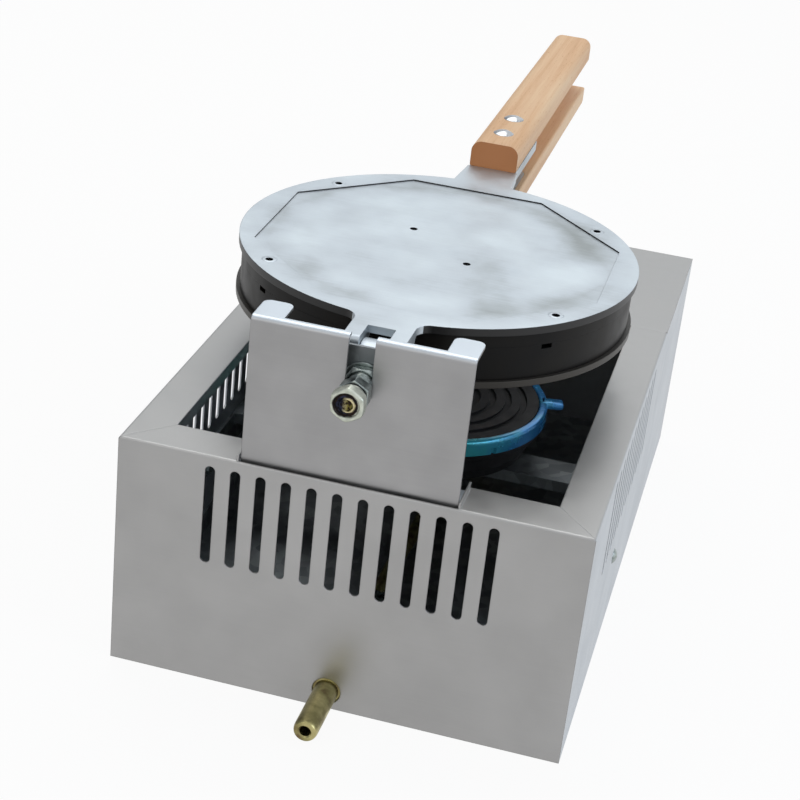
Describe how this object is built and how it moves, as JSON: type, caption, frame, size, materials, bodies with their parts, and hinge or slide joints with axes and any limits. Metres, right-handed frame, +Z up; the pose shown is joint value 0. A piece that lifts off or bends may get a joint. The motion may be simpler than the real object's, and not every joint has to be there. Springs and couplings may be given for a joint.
{
  "type": "egg waffle pan",
  "caption": "Hinged egg waffle pan with egg-shaped cups and wooden handles, lifted and turned over on a shaft in a slotted bracket above a sheet-metal gas stove.",
  "frame": {"origin": "on the floor, at the centre of the casing's base", "axes": "+Z up; -Y towards the operator, where the knob and the handles are; +Y towards the gas inlet and the pan bracket; +X to the operator's right"},
  "size_m": [0.234, 0.5765, 0.2063],
  "materials": {
    "stainless_sheet": "satin stainless sheet, 1 mm",
    "bracket_steel": "satin stainless sheet, 1.5 mm",
    "galvanised_steel": "galvanised steel",
    "zinc_steel": "zinc-plated steel, dulled by heat",
    "polished_steel": "nickel-plated domed bolt heads",
    "cast_aluminium": "sand-cast aluminium, machined flat and bead blasted",
    "nonstick_black": "black non-stick coating on cast aluminium",
    "black_enamel": "black enamelled cast iron",
    "teal_anodised": "teal lacquered burner ring",
    "brass": "tarnished brass",
    "black_plastic": "black phenolic knob",
    "beech": "clear-lacquered beech"
  },
  "bodies": {
    "stove": {"rear_panel": "stainless_sheet", "right_side_panel": "stainless_sheet", "left_side_panel": "stainless_sheet", "front_panel": "stainless_sheet", "front_cover": "stainless_sheet", "base_plate": "stainless_sheet", "pan_bracket": "bracket_steel", "burner_support": "galvanised_steel", "side_screws": "zinc_steel", "side_nuts": "zinc_steel", "burner_bowl": "black_enamel", "burner_bolt": "zinc_steel", "burner_nut": "zinc_steel", "burner_ring": "teal_anodised", "burner_cap": "black_enamel", "mixing_tube": "cast_aluminium", "injector": "brass", "gas_valve": "brass", "valve_screws": "zinc_steel", "gas_pipe": "galvanised_steel", "pipe_nut": "brass", "pipe_saddles": "galvanised_steel", "hose_nozzle": "brass", "inlet_nut": "brass"},
    "air_shutter": {"air_shutter": "galvanised_steel"},
    "valve_plug": {"valve_plug": "brass"},
    "knob": {"valve_stem": "brass", "knob": "black_plastic"},
    "pan_seat": {"pivot_washer": "zinc_steel"},
    "lower_half": {"lower_back_plate": "cast_aluminium", "lower_mould": "nonstick_black", "lower_screws": "zinc_steel", "lower_handle": "beech", "lower_handle_bolts": "polished_steel", "lower_handle_nuts": "zinc_steel", "hinge_pin": "zinc_steel", "pivot_shaft": "zinc_steel", "hinge_back_plate": "bracket_steel", "shaft_washer": "zinc_steel", "back_nut": "zinc_steel", "front_nut": "zinc_steel", "end_nut": "zinc_steel"},
    "upper_half": {"upper_back_plate": "cast_aluminium", "upper_mould": "nonstick_black", "upper_screws": "zinc_steel", "upper_handle": "beech", "upper_handle_bolts": "polished_steel", "upper_handle_nuts": "zinc_steel"}
  },
  "joints": [
    {"name": "pan_lift", "type": "slide", "parent": "stove", "child": "pan_seat", "axis": [0, 0, 1], "range_m": [0, 0.12]},
    {"name": "pan_flip", "type": "hinge", "parent": "pan_seat", "child": "lower_half", "pos_m": [0.0025, 0.181, 0.1734], "axis": [0, 1, 0], "range_deg": [0, 180]},
    {"name": "pan_open", "type": "hinge", "parent": "lower_half", "child": "upper_half", "pos_m": [0.0025, 0.153, 0.1734], "axis": [1, 0, 0], "range_deg": [-90, 0]},
    {"name": "knob_turn", "type": "hinge", "parent": "stove", "child": "valve_plug", "pos_m": [0, -0.17, 0.069], "axis": [0, -1, 0], "range_deg": [0, 90]},
    {"name": "knob_push", "type": "slide", "parent": "valve_plug", "child": "knob", "axis": [0, 1, 0], "range_m": [0, 0.004], "stiffness_N_per_m": 400, "springref_m": -0.008},
    {"name": "air_shutter_turn", "type": "hinge", "parent": "stove", "child": "air_shutter", "pos_m": [0, -0.1315, 0.069], "axis": [0, 1, 0], "range_deg": [0, 60]}
  ],
  "couplings": [
    {"joint": "pan_flip", "follows": "pan_lift", "rad_per_m": 26.18}
  ]
}
